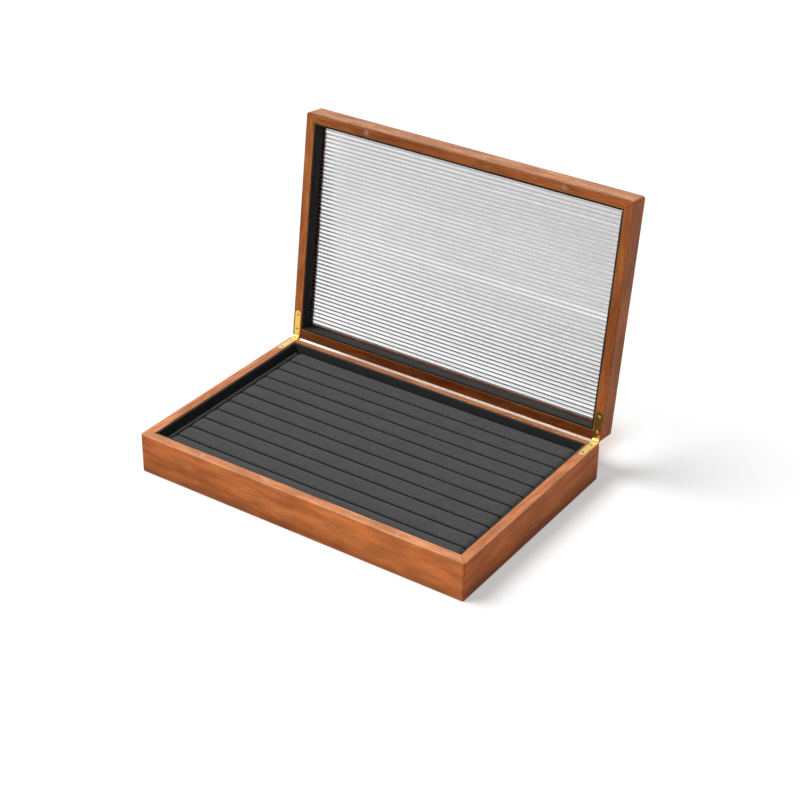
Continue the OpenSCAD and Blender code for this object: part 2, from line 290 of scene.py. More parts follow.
def wood(name, looks, rail, turn, opened, run, across, rim, seed):
    """Oiled timber with its grain along the rail.

    The parting face, and on some rails an outer face, are paler, which is painted light falling on them;
    the arrises beside the parting face are lighter, a painted highlight that also stands for wear,
    and a fine dark line shows where the rails are mitred.
    """
    made, tree = material(name)
    place = millimetres(tree, turn, opened)
    along = tree.split(place)
    inwards = along.other("Y") + across / 2 / MM
    height = along.other("Z")
    off_rim = abs(height - rim / MM)
    mitre = abs(run / 2 / MM - abs(along) - inwards)
    thick = RAIL_T / MM

    sample = tree.vector("ADD", place, (seed * 431.0, seed * 17.3, seed * 29.1))
    trunk = tree.vector("ADD", sample, drift(tree, sample, SWAY, 22))
    trunk = tree.vector("ADD", trunk, drift(tree, sample, RIPPLE, 3))
    band = tree.noise(trunk, BANDS)
    fibre = tree.noise(trunk, FIBRES, 3, 0.6)
    cloud = tree.noise(sample, CLOUDS, 3, 0.55)
    # Lighter curly figure, partly a painted sheen where the figure catches the light
    shine = tree.between(tree.noise(trunk, CURLS), 0.54, 0.68)
    shine = shine * tree.between(tree.noise(sample, PATCHES, 1), 0.5, 0.6)
    figure = rail["figure"]
    fleck = tree.between(tree.noise(sample, FLECKS, 1), 0.58, 0.7) * figure

    tone = tree.mix(tree.between(band, 0.35, 0.65), looks.warm, looks.mid)
    tone = tree.mix(tree.between(band, 0.42, 0.3) * looks.ring_depth * figure, tone, looks.dark)
    tone = tree.mix(tree.between(fibre, 0.5, 0.68) * 0.3 * figure, tone, looks.light)
    tone = tree.mix(tree.between(fibre, 0.48, 0.33) * 0.5 * figure, tone, looks.dark)
    tone = tree.mix(shine * looks.curl * figure, tone, looks.light)

    # Painted light: a paler parting face and outer face where light falls on them, with a painted sheen,
    # and a painted highlight along the arrises that also stands for wear
    parting_face_mask = tree.between(off_rim, 0.5, 0.15)
    outer = tree.between(inwards, 0.5, 0.15) * rail["outer_painted_light"]
    pale = (parting_face_mask * rail["rim_painted_light"]).maths("MAXIMUM", parting_face_mask * rail["rim_painted_light"], outer)
    grained = tree.mix(tree.between(fibre, 0.35, 0.6), looks.rim_dark, looks.rim)
    tone = tree.mix(pale, tone, grained)
    tone = tree.mix(fleck * 0.35, tone, looks.dark)
    # Painted highlight along the arrises beside the parting face, which also stands for their wear
    arris = tree.between(inwards, 1.0, 0.3) + tree.between(inwards, thick - 1.0, thick - 0.3)
    worn_and_highlit = arris * tree.between(off_rim, 0.9, 0.3)
    tone = tree.mix(worn_and_highlit * 0.16 * rail["rim_painted_light"], tone, looks.worn_and_highlit)

    # Painted light and shade along the rail, darker towards the bottom of the base, tone that differs at
    # random from board to board, the rail's tone with its painted shade, and painted shade and light on its
    # faces
    level = tree.between(cloud, 0.32, 0.68, 0.79, 1.21)
    level = level * tree.between(along, -run / 2 / MM, run / 2 / MM, 1 - rail["painted_light_tilt"], 1 + rail["painted_light_tilt"])
    level = level * (1 - parting_face_mask * (1 - rail["rim_painted_shade"])) * (1 + outer * 0.1) * rail["shade"]
    if not opened:
        level = level * tree.between(height, 0, 12, 0.7, 1) * tree.between(height, 5, 36, 0.9, 1.06)
    red = rail["red"]
    tone = tree.deepened(tone, level, level * (1 - red), level * (1 - 1.6 * red))
    joint = tree.between(mitre, 0.3, 0.12)
    tone = tree.mix(joint * 0.6, tone, looks.pore)
    # Painted shade in the lid's groove and at the inner arris of the lip, in the pore colour
    if opened:
        depth = height - rim / MM
        seat = tree.between(inwards, *GROOVE_IN) * tree.between(depth, *GROOVE_END)
        lip = tree.between(inwards, thick - 1.5, thick - 1.2) * rail["lip_shade"]
        groove = tree.between(depth, *GROOVE_TOP) * seat.maths("MAXIMUM", seat, lip)
        tone = tree.mix(groove * 0.93, tone, looks.pore)

    shader = tree.principled(
        base_color=tone,
        roughness=0.4 + fibre * 0.16 + fleck * 0.15,
        normal=tree.bump(0.3, 0.12, fibre * 0.6 - fleck * 0.6 - joint * 1.2),
        specular_ior_level=0.08,
        coat_weight=0.02,
        coat_roughness=0.35,
    )
    tree.finish(shader)
    return made


def drift(tree, sample, stretch, reach):
    """A slow wandering across the rail, over a reach in millimetres."""
    swing = tree.vector("SUBTRACT", tree.noise(sample, stretch, out="Color"), (0.5, 0.5, 0.5))
    return tree.vector("MULTIPLY", swing, (0, reach, reach))


def microfibre(name, tint, opened=False, contrast=1.0, rolls=None, edge=None):
    """Brushed microfibre: a short nap that lies in soft patches, with a fine grain.

    Between rolls, given by their pitch and width, painted shade darkens it towards the slots. A free
    edge, given by its height and a factor, is lighter or darker than the rest: painted light for a factor
    above one, painted shade below one.
    """
    made, tree = material(name)
    place = millimetres(tree, 0, opened)
    nap = tree.noise(place, (24, 11, 11), 3, 0.6)
    grain = tree.noise(place, (0.9, 0.7, 0.7), 2, 0.6)
    lint = tree.noise(place, (2.6, 1.7, 1.7), 3, 0.6)
    level = 1 + (nap - 0.5) * 0.3 * contrast + (grain - 0.5) * 0.8 * contrast
    level = level + (lint - 0.5) * 0.8 * contrast
    spot = tree.split(place)
    # Painted shade towards the slots between the rolls
    if rolls:
        pitch, width = (size / MM for size in rolls)
        run = spot.other("Y") / pitch + 0.5
        off = abs(run.maths("FRACT", run) - 0.5) * pitch
        level = level * tree.between(off, width / 2 - 1.4, width / 2 - 0.5, 1, 0.15)
    # Painted light along the free edge for a factor above one, painted shade for one below
    if edge:
        at, factor = edge
        level = level * tree.between(abs(spot.other("Z") - at / MM), 1.0, 0.5, 1, factor)
    shader = tree.principled(
        base_color=tree.deepened(tint, level),
        roughness=0.82 + (grain - 0.5) * 0.25,
        normal=tree.bump(0.5, 0.15, grain * 0.7 + lint * 0.6),
        sheen_weight=0.18,
        sheen_roughness=0.5,
        specular_ior_level=0.25,
    )
    tree.finish(shader)
    return made


def felt(name, tint):
    """Pressed felt: matted fibres with no direction."""
    made, tree = material(name)
    place = millimetres(tree)
    fibre = tree.noise(place, (0.9, 0.9, 0.9), 4, 0.7)
    patch = tree.noise(place, (14, 14, 14))
    shader = tree.principled(
        base_color=tree.deepened(tint, 0.7 + fibre * 0.5 + (patch - 0.5) * 0.25),
        roughness=0.9 + (fibre - 0.5) * 0.15,
        normal=tree.bump(0.6, 0.2, fibre),
        sheen_weight=0.2,
        specular_ior_level=0.2,
    )
    tree.finish(shader)
    return made


def plies(name, pale, dark):
    """Plywood: a straight-grained face, and plies that show along the edge."""
    made, tree = material(name)
    place = millimetres(tree)
    grain = tree.noise(place, (60, 2.2, 30), 4, 0.6)
    pore = tree.between(tree.noise(place, (7, 0.5, 0.5), 1), 0.6, 0.75)
    layer = tree.split(place).other("Z") / 1.4
    ply = tree.between(abs(layer.maths("FRACT", layer) - 0.5), 0.2, 0.3)
    tone = tree.mix(tree.between(grain, 0.3, 0.7), pale, dark)
    tone = tree.mix(ply * 0.3, tone, dark)
    tone = tree.mix(pore * 0.5, tone, dark)
    normal = tree.bump(0.3, 0.1, grain - pore)
    tree.finish(tree.principled(base_color=tone, roughness=0.6 + grain * 0.2, normal=normal))
    return made


def metal(name, tint, shine, opened=False, heads=None, lacquer=0.0):
    """Metal with hairline marks and a faint tarnish, and a share of matt lacquer.

    Heads are round ends, given by their centres with the lid shut, their radius, how far the
    dark middle reaches, which is painted shade of a recess, and how light the edge is. Each is domed.
    """
    made, tree = material(name)
    place = millimetres(tree, 0, opened)
    hair = tree.noise(place, (9, 0.12, 0.12), 2, 0.6)
    cloud = tree.noise(place, (2.6, 2.6, 2.6), 3, 0.6)
    level = 0.86 + cloud * 0.24
    relief = hair * 0.006
    if heads:
        centres, radius, hollow, edge = heads
        flat = tree.vector("MULTIPLY", place, (1, 1, 0))
        gaps = [tree.vector("DISTANCE", flat, (c.x / MM, c.y / MM, 0), out="Value") for c in centres]
        off = gaps[0].maths("MINIMUM", *gaps) / (radius / MM)
        level = level * tree.between(off, 0.8, 0.95, 1, edge)
        # Painted shade in the dark middle of a screw head's recess
        level = level * tree.between(off, hollow, hollow + 0.15, 0.12, 1)
        relief = relief + (1 - off * off) * 0.5
    shader = tree.principled(
        base_color=tree.deepened(tint, level),
        metallic=1.0 - lacquer,
        roughness=shine + (cloud - 0.5) * 0.12 + (hair - 0.5) * 0.1,
        normal=tree.bump(1.0, 1.0, relief),
    )
    tree.finish(shader)
    return made


def clear(name, looks, depth, front):
    """The panel's clear material. Lamps shine through it, as through the real one.

    Each reed has painted shade towards its root, on the side that looks down when the lid is open,
    and most so low on the panel and at its left end; it stands for the dark lines that refraction shows.
    """
    made, tree = material(name)
    place = millimetres(tree, 0, True)
    at = tree.split(place)
    across = (at.other("Y") + depth / 2 / MM) / (looks.pitch / MM)
    across = across.maths("FRACT", across)
    # Shares of painted shade: the left end, low on the open panel, a reed's root, and its side that looks
    # down
    ends = tree.between(at, -130, -163)
    down = tree.between(at.other("Y") + ends * 130, -60, 80)
    root = tree.between(across, 0.39, 0.58 - ends * 0.06) * tree.between(across, 1.0, 0.97)
    root = root * looks.root_shade * (0.85 + down * 0.15)
    slope = tree.between(across, 0.05, 0.3) * (0.4 - down * 0.25)
    slope = slope * tree.between(at, -60, 150, 1, 0.72) * (1 - ends)
    reeded = tree.between(at.other("Z"), front / MM + 1.6, front / MM + 1.2)
    cast = tree.noise(place, (90, 30, 30), 1)
    level = (1 - root * reeded) * (1 - slope * reeded) * (1.02 - cast * 0.04)
    shader = tree.principled(
        base_color=tree.deepened(looks.clear_tint, level),
        roughness=looks.haze,
        ior=looks.index,
        transmission_weight=1.0,
    )
    passed = tree.node("ShaderNodeBsdfTransparent", None, {"Color": looks.shadow_tint})
    shadow = tree.node("ShaderNodeLightPath", None, None, "Is Shadow Ray")
    tree.finish(tree.node("ShaderNodeMixShader", None, {0: shadow, 1: shader, 2: passed}))
    return made


# Meshes


def give(node, made):
    """Gives a CAD node a material, in its object's own slots."""
    for slot in NODES[node].material_slots:
        slot.material = made


def shut_box(node, opened):
    """The corners of a CAD node's box with the lid shut."""
    found = points(NODES[node].data)
    if opened:
        found = found @ np.array(SHUTTING.to_3x3()).T + np.array(SHUTTING.translation)
    return Vector(found.min(0)), Vector(found.max(0))


def placed(name, data):
    """A new object in the scene."""
    made = bpy.data.objects.new(name, data)
    bpy.context.scene.collection.objects.link(made)
    return made


def new_piece(name, mesh, made, body, nodes):
    """Puts a finished mesh in the scene, on its body and in the place of its CAD nodes."""
    piece = placed(name, mesh)
    if not mesh.materials:
        mesh.materials.append(made)
    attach(piece, body)
    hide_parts(*nodes)
    return piece


def block(size, steps, radii, flat_below=True):
    """A block of quads, rounded by a radius along each axis; the bottom may stay flat."""
    bm = bmesh.new()
    half = Vector(size) / 2
    counts = [max(1, round(s / t)) for s, t in zip(size, steps)]
    verts = {}

    def quad(*corners):
        for key in corners:
            if key not in verts:
                point = Vector([-1 + 2 * n / c for n, c in zip(key, counts)])
                verts[key] = bm.verts.new([h * p for h, p in zip(half, point)])
        bm.faces.new([verts[key] for key in corners])

    nx, ny, nz = counts
    for i in range(nx):
        for j in range(ny):
            quad((i, j, 0), (i, j + 1, 0), (i + 1, j + 1, 0), (i + 1, j, 0))
            quad((i, j, nz), (i + 1, j, nz), (i + 1, j + 1, nz), (i, j + 1, nz))
    for i in range(nx):
        for k in range(nz):
            quad((i, 0, k), (i + 1, 0, k), (i + 1, 0, k + 1), (i, 0, k + 1))
            quad((i, ny, k), (i, ny, k + 1), (i + 1, ny, k + 1), (i + 1, ny, k))
    for j in range(ny):
        for k in range(nz):
            quad((0, j, k), (0, j, k + 1), (0, j + 1, k + 1), (0, j + 1, k))
            quad((nx, j, k), (nx, j + 1, k), (nx, j + 1, k + 1), (nx, j, k + 1))
    for vert in bm.verts:
        reach = []
        for axis in range(3):
            limit = half[axis] - radii[axis]
            value = vert.co[axis]
            if axis == 2 and flat_below and value < 0:
                reach.append(0.0)
            else:
                reach.append((value - max(-limit, min(limit, value))) / radii[axis])
        length = Vector(reach).length
        if length > 1:
            for axis in range(3):
                vert.co[axis] -= reach[axis] * radii[axis] * (1 - 1 / length)
    mesh = bpy.data.meshes.new("block")
    bm.to_mesh(mesh)
    bm.free()
    return mesh


def points(mesh):
    found = np.zeros(len(mesh.vertices) * 3, np.float32)
    mesh.vertices.foreach_get("co", found)
    return found.reshape(-1, 3).astype(float)


def set_points(mesh, found):
    mesh.vertices.foreach_set("co", found.astype(np.float32).ravel())
    mesh.update()


def settled(piece):
    """A new mesh of a piece as its modifiers leave it."""
    bpy.context.view_layer.update()
    graph = bpy.context.evaluated_depsgraph_get()
    return bpy.data.meshes.new_from_object(piece.evaluated_get(graph), depsgraph=graph)


def subdivided(mesh, levels):
    """The mesh smoothed by a subdivision surface."""
    holder = placed("smoothing", mesh)
    smooth = holder.modifiers.new("smooth", "SUBSURF")
    smooth.levels = levels
    smooth.render_levels = levels
    result = settled(holder)
    bpy.data.objects.remove(holder)
    for face in result.polygons:
        face.use_smooth = True
    return result


def inflated(mesh, pinned, pressure, cap):
    """The mesh puffed by a cloth simulation, each point moved by no more than the cap."""
    start = points(mesh)
    holder = placed("padding", mesh)
    group = holder.vertex_groups.new(name="glued")
    group.add([int(i) for i in np.flatnonzero(pinned)], 1.0, "REPLACE")
    cloth = holder.modifiers.new("cloth", "CLOTH")
    cloth.settings.vertex_group_mass = "glued"
    cloth.settings.use_pressure = True
    cloth.settings.uniform_pressure_force = pressure
    cloth.settings.tension_stiffness = 20
    cloth.settings.compression_stiffness = 20
    cloth.settings.bending_stiffness = 0.2
    cloth.settings.effector_weights.gravity = 0
    cloth.point_cache.frame_start = 1
    cloth.point_cache.frame_end = 20
    for step in range(1, 21):
        bpy.context.scene.frame_set(step)
    result = settled(holder)
    bpy.context.scene.frame_set(1)
    bpy.data.objects.remove(holder)
    moved = points(result) - start
    far = np.linalg.norm(moved, axis=1)[:, None]
    share = cap * np.tanh(far / cap) / np.maximum(far, 1e-12)
    set_points(result, start + moved * share)
    return result


# Settings


class WoodLooks(bpy.types.PropertyGroup):
    """Colours and figure of the timber."""

    mid: bpy.props.FloatVectorProperty(
        name="Timber", description="Main colour of the timber", subtype="COLOR", default=colour("e68849")
    )
    warm: bpy.props.FloatVectorProperty(
        name="Warm band", description="Colour of the redder bands", subtype="COLOR", default=colour("dc7a3f")
    )
    light: bpy.props.FloatVectorProperty(
        name="Light streak",
        description="Colour of the light fibres",
        subtype="COLOR",
        default=colour("f7ab6a"),
    )
    dark: bpy.props.FloatVectorProperty(
        name="Dark band", description="Colour of the late wood", subtype="COLOR", default=colour("a04e22")
    )
    # Also the colour of the painted shade in the lid's groove
    pore: bpy.props.FloatVectorProperty(
        name="Pore", description="Colour of the pores and joints", subtype="COLOR", default=colour("5f2a0c")
    )
    # Painted light: the paler colour of the parting faces stands for light falling on them from above and
    # their sheen
    rim: bpy.props.FloatVectorProperty(
        name="Parting face",
        description="Paler colour of the parting faces",
        subtype="COLOR",
        default=colour("e2a47c"),
    )
    rim_dark: bpy.props.FloatVectorProperty(
        name="Parting fibre",
        description="Darker fibres of the parting faces",
        subtype="COLOR",
        default=colour("c07a50"),
    )
    # Painted highlight along the arrises, which also stands for their wear
    worn_and_highlit: bpy.props.FloatVectorProperty(
        name="Worn arris",
        description="Colour where the arrises are worn",
        subtype="COLOR",
        default=colour("f6c8a6"),
    )
    ring_depth: bpy.props.FloatProperty(
        name="Band contrast",
        description="How dark the late wood is",
        default=0.5,
        min=0,
        max=1,
        subtype="FACTOR",
    )
    # Lighter curly figure, partly a painted sheen on it
    curl: bpy.props.FloatProperty(
        name="Curl", description="How light the curly figure is", default=0.5, min=0, max=1, subtype="FACTOR"
    )


class FabricLooks(bpy.types.PropertyGroup):
    """Colours of the fabrics."""

    roll: bpy.props.FloatVectorProperty(
        name="Rolls", description="Microfibre on the rolls", subtype="COLOR", default=colour("464646")
    )
    lining: bpy.props.FloatVectorProperty(
        name="Linings",
        description="Microfibre on the lining boards",
        subtype="COLOR",
        default=colour("252525"),
    )
    # Painted light: the cheeks are lighter than the rolls' microfibre, so they read as lit inside the wall's
    # shadow
    cheek: bpy.props.FloatVectorProperty(
        name="Cheeks",
        description="Microfibre at the ends of the rolls",
        subtype="COLOR",
        default=colour("7c7c7c"),
    )
    felt: bpy.props.FloatVectorProperty(
        name="Felt", description="Felt under the case", subtype="COLOR", default=colour("2f3133")
    )


class PanelLooks(bpy.types.PropertyGroup):
    """Shape and finish of the reeded panel."""

    pitch: bpy.props.FloatProperty(
        name="Reed spacing", description="Distance from reed to reed", default=4 * MM, unit="LENGTH"
    )
    height: bpy.props.FloatProperty(
        name="Reed height", description="How far a reed stands out", default=0.9 * MM, unit="LENGTH"
    )
    valley: bpy.props.FloatProperty(
        name="Valley", description="Flat between two reeds", default=0.2 * MM, unit="LENGTH"
    )
    steps: bpy.props.IntProperty(
        name="Steps", description="Faces across a reed and its valley", default=22, min=6
    )
    index: bpy.props.FloatProperty(
        name="Refractive index", description="How far it bends light", default=1.12
    )
    haze: bpy.props.FloatProperty(
        name="Haze", description="Roughness of its faces", default=0.28, min=0, max=1, subtype="FACTOR"
    )
    # Painted shade at a reed's root
    root_shade: bpy.props.FloatProperty(
        name="Root shade",
        description="How dark a reed is at its root",
        default=0.99,
        min=0,
        max=1,
        subtype="FACTOR",
    )
    clear_tint: bpy.props.FloatVectorProperty(
        name="Tint", description="Colour of what shows through", subtype="COLOR", default=(0.88, 0.88, 0.88)
    )
    shadow_tint: bpy.props.FloatVectorProperty(
        name="Shade",
        description="What the panel lets through of a lamp",
        subtype="COLOR",
        default=(0.93, 0.93, 0.93),
    )


class MetalLooks(bpy.types.PropertyGroup):
    """Colours of the metals."""

    brass: bpy.props.FloatVectorProperty(
        name="Brass", description="Polished brass of the hinges", subtype="COLOR", default=colour("ffe694")
    )
    # Painted shade: a deeper, darker copy of the hinge brass for the lid's leaves
    lid_leaf_brass: bpy.props.FloatVectorProperty(
        name="Aged brass", description="Brass of the lid's leaves", subtype="COLOR", default=colour("f0c464")
    )
    # Painted shade: the lid's magnets take a darker copy of the same plating
    steel: bpy.props.FloatVectorProperty(
        name="Steel", description="Plating of the lid's magnets", subtype="COLOR", default=colour("a8826e")
    )
    # Painted light: the base's magnets take a lighter copy of the same plating
    lit_plating: bpy.props.FloatVectorProperty(
        name="Rubbed steel",
        description="Plating of the base's magnets",
        subtype="COLOR",
        default=colour("dca68a"),
    )


class StageLooks(bpy.types.PropertyGroup):
    """Light level and floor."""

    key: bpy.props.FloatProperty(name="Key", description="Strength of the key light", default=3.0, min=0)
    fill: bpy.props.FloatProperty(
        name="Fill", description="Strength of the light all round", default=0.15, min=0
    )
    spread: bpy.props.FloatProperty(
        name="Softness",
        description="Width of the key light as seen from the case",
        default=math.radians(30),
        unit="ROTATION",
    )
    floor: bpy.props.FloatVectorProperty(
        name="Floor", description="Colour of the floor", subtype="COLOR", default=(0.6, 0.6, 0.6)
    )
    shade: bpy.props.FloatVectorProperty(
        name="Floor shade",
        description="Colour of the floor close behind the case",
        subtype="COLOR",
        default=(0.52, 0.43, 0.37),
    )
    glow: bpy.props.FloatProperty(
        name="Floor white", description="What the floor adds in view, to be white", default=0.45, min=0, max=1
    )


# Operators


class DISPLAY_OT_rails(bpy.types.Operator):
    """Gives the rails of the base and the lid their timber"""

    bl_idname = "display_box.rails"
    bl_label = "Timber rails"

    def execute(self, context):
        looks = context.scene.box_wood
        sides = [("front", 0, CASE_W, CASE_D), ("right", 90, CASE_D, CASE_W)]
        sides += [("back", 180, CASE_W, CASE_D), ("left", -90, CASE_D, CASE_W)]
        for level, part in enumerate(("base", "lid")):
            for seed, (side, turn, run, across) in enumerate(sides, 1 + 4 * level):
                node = f"{part}_{side}_rail"
                place = (math.radians(turn), part == "lid", run, across, RIMS[part], seed)
                give(node, wood(f"timber_{part}_{side}", looks, RAILS[node], *place))
        return {"FINISHED"}


class DISPLAY_OT_panel(bpy.types.Operator):
    """Builds the clear reeded panel with Geometry Nodes"""

    bl_idname = "display_box.panel"
    bl_label = "Reeded panel"

    def execute(self, context):
        looks = context.scene.box_panel
        low, high = shut_box("lid_panel", True)
        reach = math.floor((high[1] - low[1]) / looks.pitch) * looks.pitch
        made = clear("clear_panel", looks, reach, low[2])
        group = reeded_tree()
        sizes = {
            "Width": high[0] - low[0],
            "Depth": high[1] - low[1],
            "Thickness": high[2] - low[2],
            "Reed Spacing": looks.pitch,
            "Reed Height": looks.height,
            "Valley": looks.valley,
            "Steps": looks.steps,
            "Material": made,
        }
        mesh = grown(group, sizes)
        place = Matrix.Translation(((low[0] + high[0]) / 2, (low[1] + high[1]) / 2, low[2]))
        mesh.transform(OPENING @ place)
        new_piece("reeded_panel", mesh, made, "lid", ["lid_panel"])
        return {"FINISHED"}


def reeded_tree():
    """Geometry nodes of a flat panel with rounded reeds along X on its lower side."""
    group = bpy.data.node_groups.new("reeded panel", "GeometryNodeTree")
    face = group.interface
    for name in ("Width", "Depth", "Thickness", "Reed Spacing", "Reed Height", "Valley"):
        face.new_socket(name, in_out="INPUT", socket_type="NodeSocketFloat").subtype = "DISTANCE"
    face.new_socket("Steps", in_out="INPUT", socket_type="NodeSocketInt")
    face.new_socket("Material", in_out="INPUT", socket_type="NodeSocketMaterial")
    face.new_socket("Geometry", in_out="OUTPUT", socket_type="NodeSocketGeometry")
    tree = Tree(group)
    width = tree.node("NodeGroupInput")
    names = ("Depth", "Thickness", "Reed Spacing", "Reed Height", "Valley", "Steps", "Material")
    depth, thickness, pitch, height, valley, steps, made = (width.other(n) for n in names)
    reeds = (depth / pitch).maths("FLOOR", depth / pitch)
    reach = reeds * pitch
    sizes = {"Size X": width, "Size Y": reach, "Vertices X": 2, "Vertices Y": reeds * steps + 1}
    grid = tree.node("GeometryNodeMeshGrid", None, sizes)
    spot = tree.split(tree.node("GeometryNodeInputPosition"))
    run = (spot.other("Y") + reach / 2) / pitch
    nudge = 0.001
    cell = run.maths("FLOOR", run + nudge)
    turn = (run - cell) * 2 - 1
    half = (pitch - valley) / 2
    radius = (half * half + height * height) / (2 * height)
    widest = (half / radius).maths("ARCSINE", half / radius)
    stretched = turn * steps / (steps - 2)
    held = stretched.maths("MINIMUM", stretched.maths("MAXIMUM", stretched, -1), 1)
    angle = held * widest
    on_valley = abs(stretched) > 1 + nudge
    across = radius * angle.maths("SINE", angle) * (1 - on_valley)
    across = across + pitch / 2 * turn.maths("SIGN", turn) * on_valley
    rise = (radius * angle.maths("COSINE", angle) - (radius - height)) * (1 - on_valley)
    place = (cell + 0.5) * pitch - reach / 2 + across
    last = abs(place) > reach / 2 - pitch * nudge
    place = place * (1 - last) + depth / 2 * place.maths("SIGN", place) * last
    shaped = tree.node("ShaderNodeCombineXYZ", None, {0: spot, 1: place, 2: height - rise})
    skin = tree.node("GeometryNodeSetPosition", None, {"Geometry": grid, "Position": shaped})
    upwards = {"Mesh": skin, "Offset Scale": thickness, "Individual": False}
    raised = tree.node("GeometryNodeExtrudeMesh", {"mode": "FACES"}, upwards)
    here = tree.split(tree.node("GeometryNodeInputPosition"))
    flat = tree.node("ShaderNodeCombineXYZ", None, {0: here, 1: here.other("Y"), 2: thickness})
    level = {"Geometry": raised, "Selection": raised.other("Top"), "Position": flat}
    raised = tree.node("GeometryNodeSetPosition", None, level)
    under = tree.node("GeometryNodeFlipFaces", None, {"Mesh": skin})
    joined = tree.node("GeometryNodeJoinGeometry")
    for part in (raised, under):
        group.links.new(part.socket, joined.socket.node.inputs[0])
    welded = tree.node("GeometryNodeMergeByDistance", None, {"Geometry": joined, "Distance": 0.01 * MM})
    smooth = tree.node("GeometryNodeSetShadeSmooth", None, {"Geometry": welded, "Shade Smooth": True})
    sharp = tree.node("GeometryNodeInputMeshEdgeAngle") > math.radians(24)
    creased = tree.node(
        "GeometryNodeStoreNamedAttribute",
        {"data_type": "BOOLEAN", "domain": "EDGE"},
        {"Geometry": smooth, "Name": "sharp_edge", "Value": sharp},
    )
    real = tree.node("GeometryNodeRealizeInstances", None, {"Geometry": creased})
    dressed = tree.node("GeometryNodeSetMaterial", None, {"Geometry": real, "Material": made})
    tree.node("NodeGroupOutput", None, {"Geometry": dressed})
    return group


def grown(group, sizes):
    """The mesh that a geometry tree gives for these named inputs."""
    seed = bpy.data.meshes.new(group.name)
    holder = placed(group.name, seed)
    maker = holder.modifiers.new("maker", "NODES")
    maker.node_group = group
    for item in group.interface.items_tree:
        if item.in_out == "INPUT":
            maker[item.identifier] = sizes[item.name]
    mesh = settled(holder)
    bpy.data.objects.remove(holder)
    if not mesh.polygons:
        raise RuntimeError(f"the tree {group.name} made no faces")
    return mesh


class DISPLAY_OT_rolls(bpy.types.Operator):
    """Makes the padded rolls"""

    bl_idname = "display_box.rolls"
    bl_label = "Ring rolls"

    def execute(self, context):
        low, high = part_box(ROLLS[0])
        size = high - low
        spacing = abs(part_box(ROLLS[1])[0].y - low.y)
        tint = context.scene.box_fabric.roll
        made = microfibre("roll_microfibre", tint, contrast=1.4, rolls=(spacing, size.y))
        foam = size - ROLL_SLACK
        mesh = block(foam, (2 * MM, 1.4 * MM, 1.5 * MM), (0.6 * MM, ROLL_SHOULDER, ROLL_SHOULDER))
        shape = points(mesh)
        shape[:, 2] += foam.z / 2
        shape[:, 2] -= np.clip(shape[:, 2] / foam.z, 0, 1) ** 2 * shape[:, 1] ** 2 / (2 * ROLL_CROWN)
        turned = np.clip((np.abs(shape[:, 0]) - foam.x / 2 + ROLL_END) / ROLL_END, 0, 1) * math.pi / 2
        outer = foam.x / 2 - ROLL_END + ROLL_END * np.sin(turned)
        shape[:, 0] = np.where(turned > 0, np.sign(shape[:, 0]) * outer, shape[:, 0])
        shape[:, 1] *= 1 - ROLL_CORNER * (1 - np.cos(turned)) / (foam.y / 2)
        shape[:, 2] *= 1 - ROLL_END * (1 - np.cos(turned)) / foam.z
        set_points(mesh, shape)
        mesh = inflated(mesh, shape[:, 2] < ROLL_GLUED, ROLL_PRESSURE, ROLL_SWELL)
        mesh = subdivided(mesh, 1)
        base = points(mesh)
        limit = size.y / 2 + ROLL_BULGE
        for number, node in enumerate(ROLLS):
            low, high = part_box(node)
            body = base.copy()
            if number % 2:
                body[:, 0] *= -1
            padded_variation(body, number, size)
            body[:, 1] = np.clip(body[:, 1], -limit, limit)
            body += np.array(((low.x + high.x) / 2, (low.y + high.y) / 2, low.z))
            own = mesh.copy()
            set_points(own, body)
            if number % 2:
                own.flip_normals()
            piece = new_piece(f"padded_roll_{number + 1:02d}", own, made, "base", [node])
        return {"FINISHED"}


def padded_variation(body, number, size):
    """Gives a roll its own slight dips along the top and small folds at its ends."""
    top = np.clip((body[:, 2] / size.z - 0.5) * 2, 0, 1)
    for i, (x, y, z) in enumerate(body):
        if top[i] <= 0:
            continue
        far = abs(x) / (size.x / 2)
        dip = noise.noise(Vector((x / 0.028, y / 0.02, number * 7.3)))
        small = noise.noise(Vector((x / 0.009, y / 0.007, number * 3.1 + 40)))
        body[i, 2] += top[i] * (0.22 * dip + 0.06 * small) * MM
        if far > 0.93:
            fold = noise.noise(Vector((y / 0.0024, number * 5.7, 9.0)))
            body[i, 2] += top[i] * (far - 0.93) / 0.07 * 0.22 * fold * MM


class DISPLAY_OT_cheeks(bpy.types.Operator):
    """Makes the covered strips at the ends of the rolls"""

    bl_idname = "display_box.cheeks"
    bl_label = "Cheeks"

    def execute(self, context):
        # The cheeks' lighter colour is painted light
        made = microfibre("cheek_microfibre", context.scene.box_fabric.cheek)
        for number, side in enumerate(("left", "right")):
            node = f"insert_{side}_cheek"
            low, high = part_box(node)
            size = high - low
            mesh = block(size, (0.55 * MM, 2.5 * MM, 1.5 * MM), (1 * MM, 1 * MM, 1.1 * MM))
            mesh = subdivided(mesh, 1)
            body = points(mesh)
            for i, (x, y, z) in enumerate(body):
                wave = noise.noise(Vector((y / 0.024, z / 0.02, number * 11.0)))
                body[i, 0] += 0.12 * wave * MM * (z > -size.z / 2 + 1 * MM)
            body += np.array((low + high) / 2)
            set_points(mesh, body)
            piece = new_piece(f"covered_cheek_{side}", mesh, made, "base", [node])
        return {"FINISHED"}


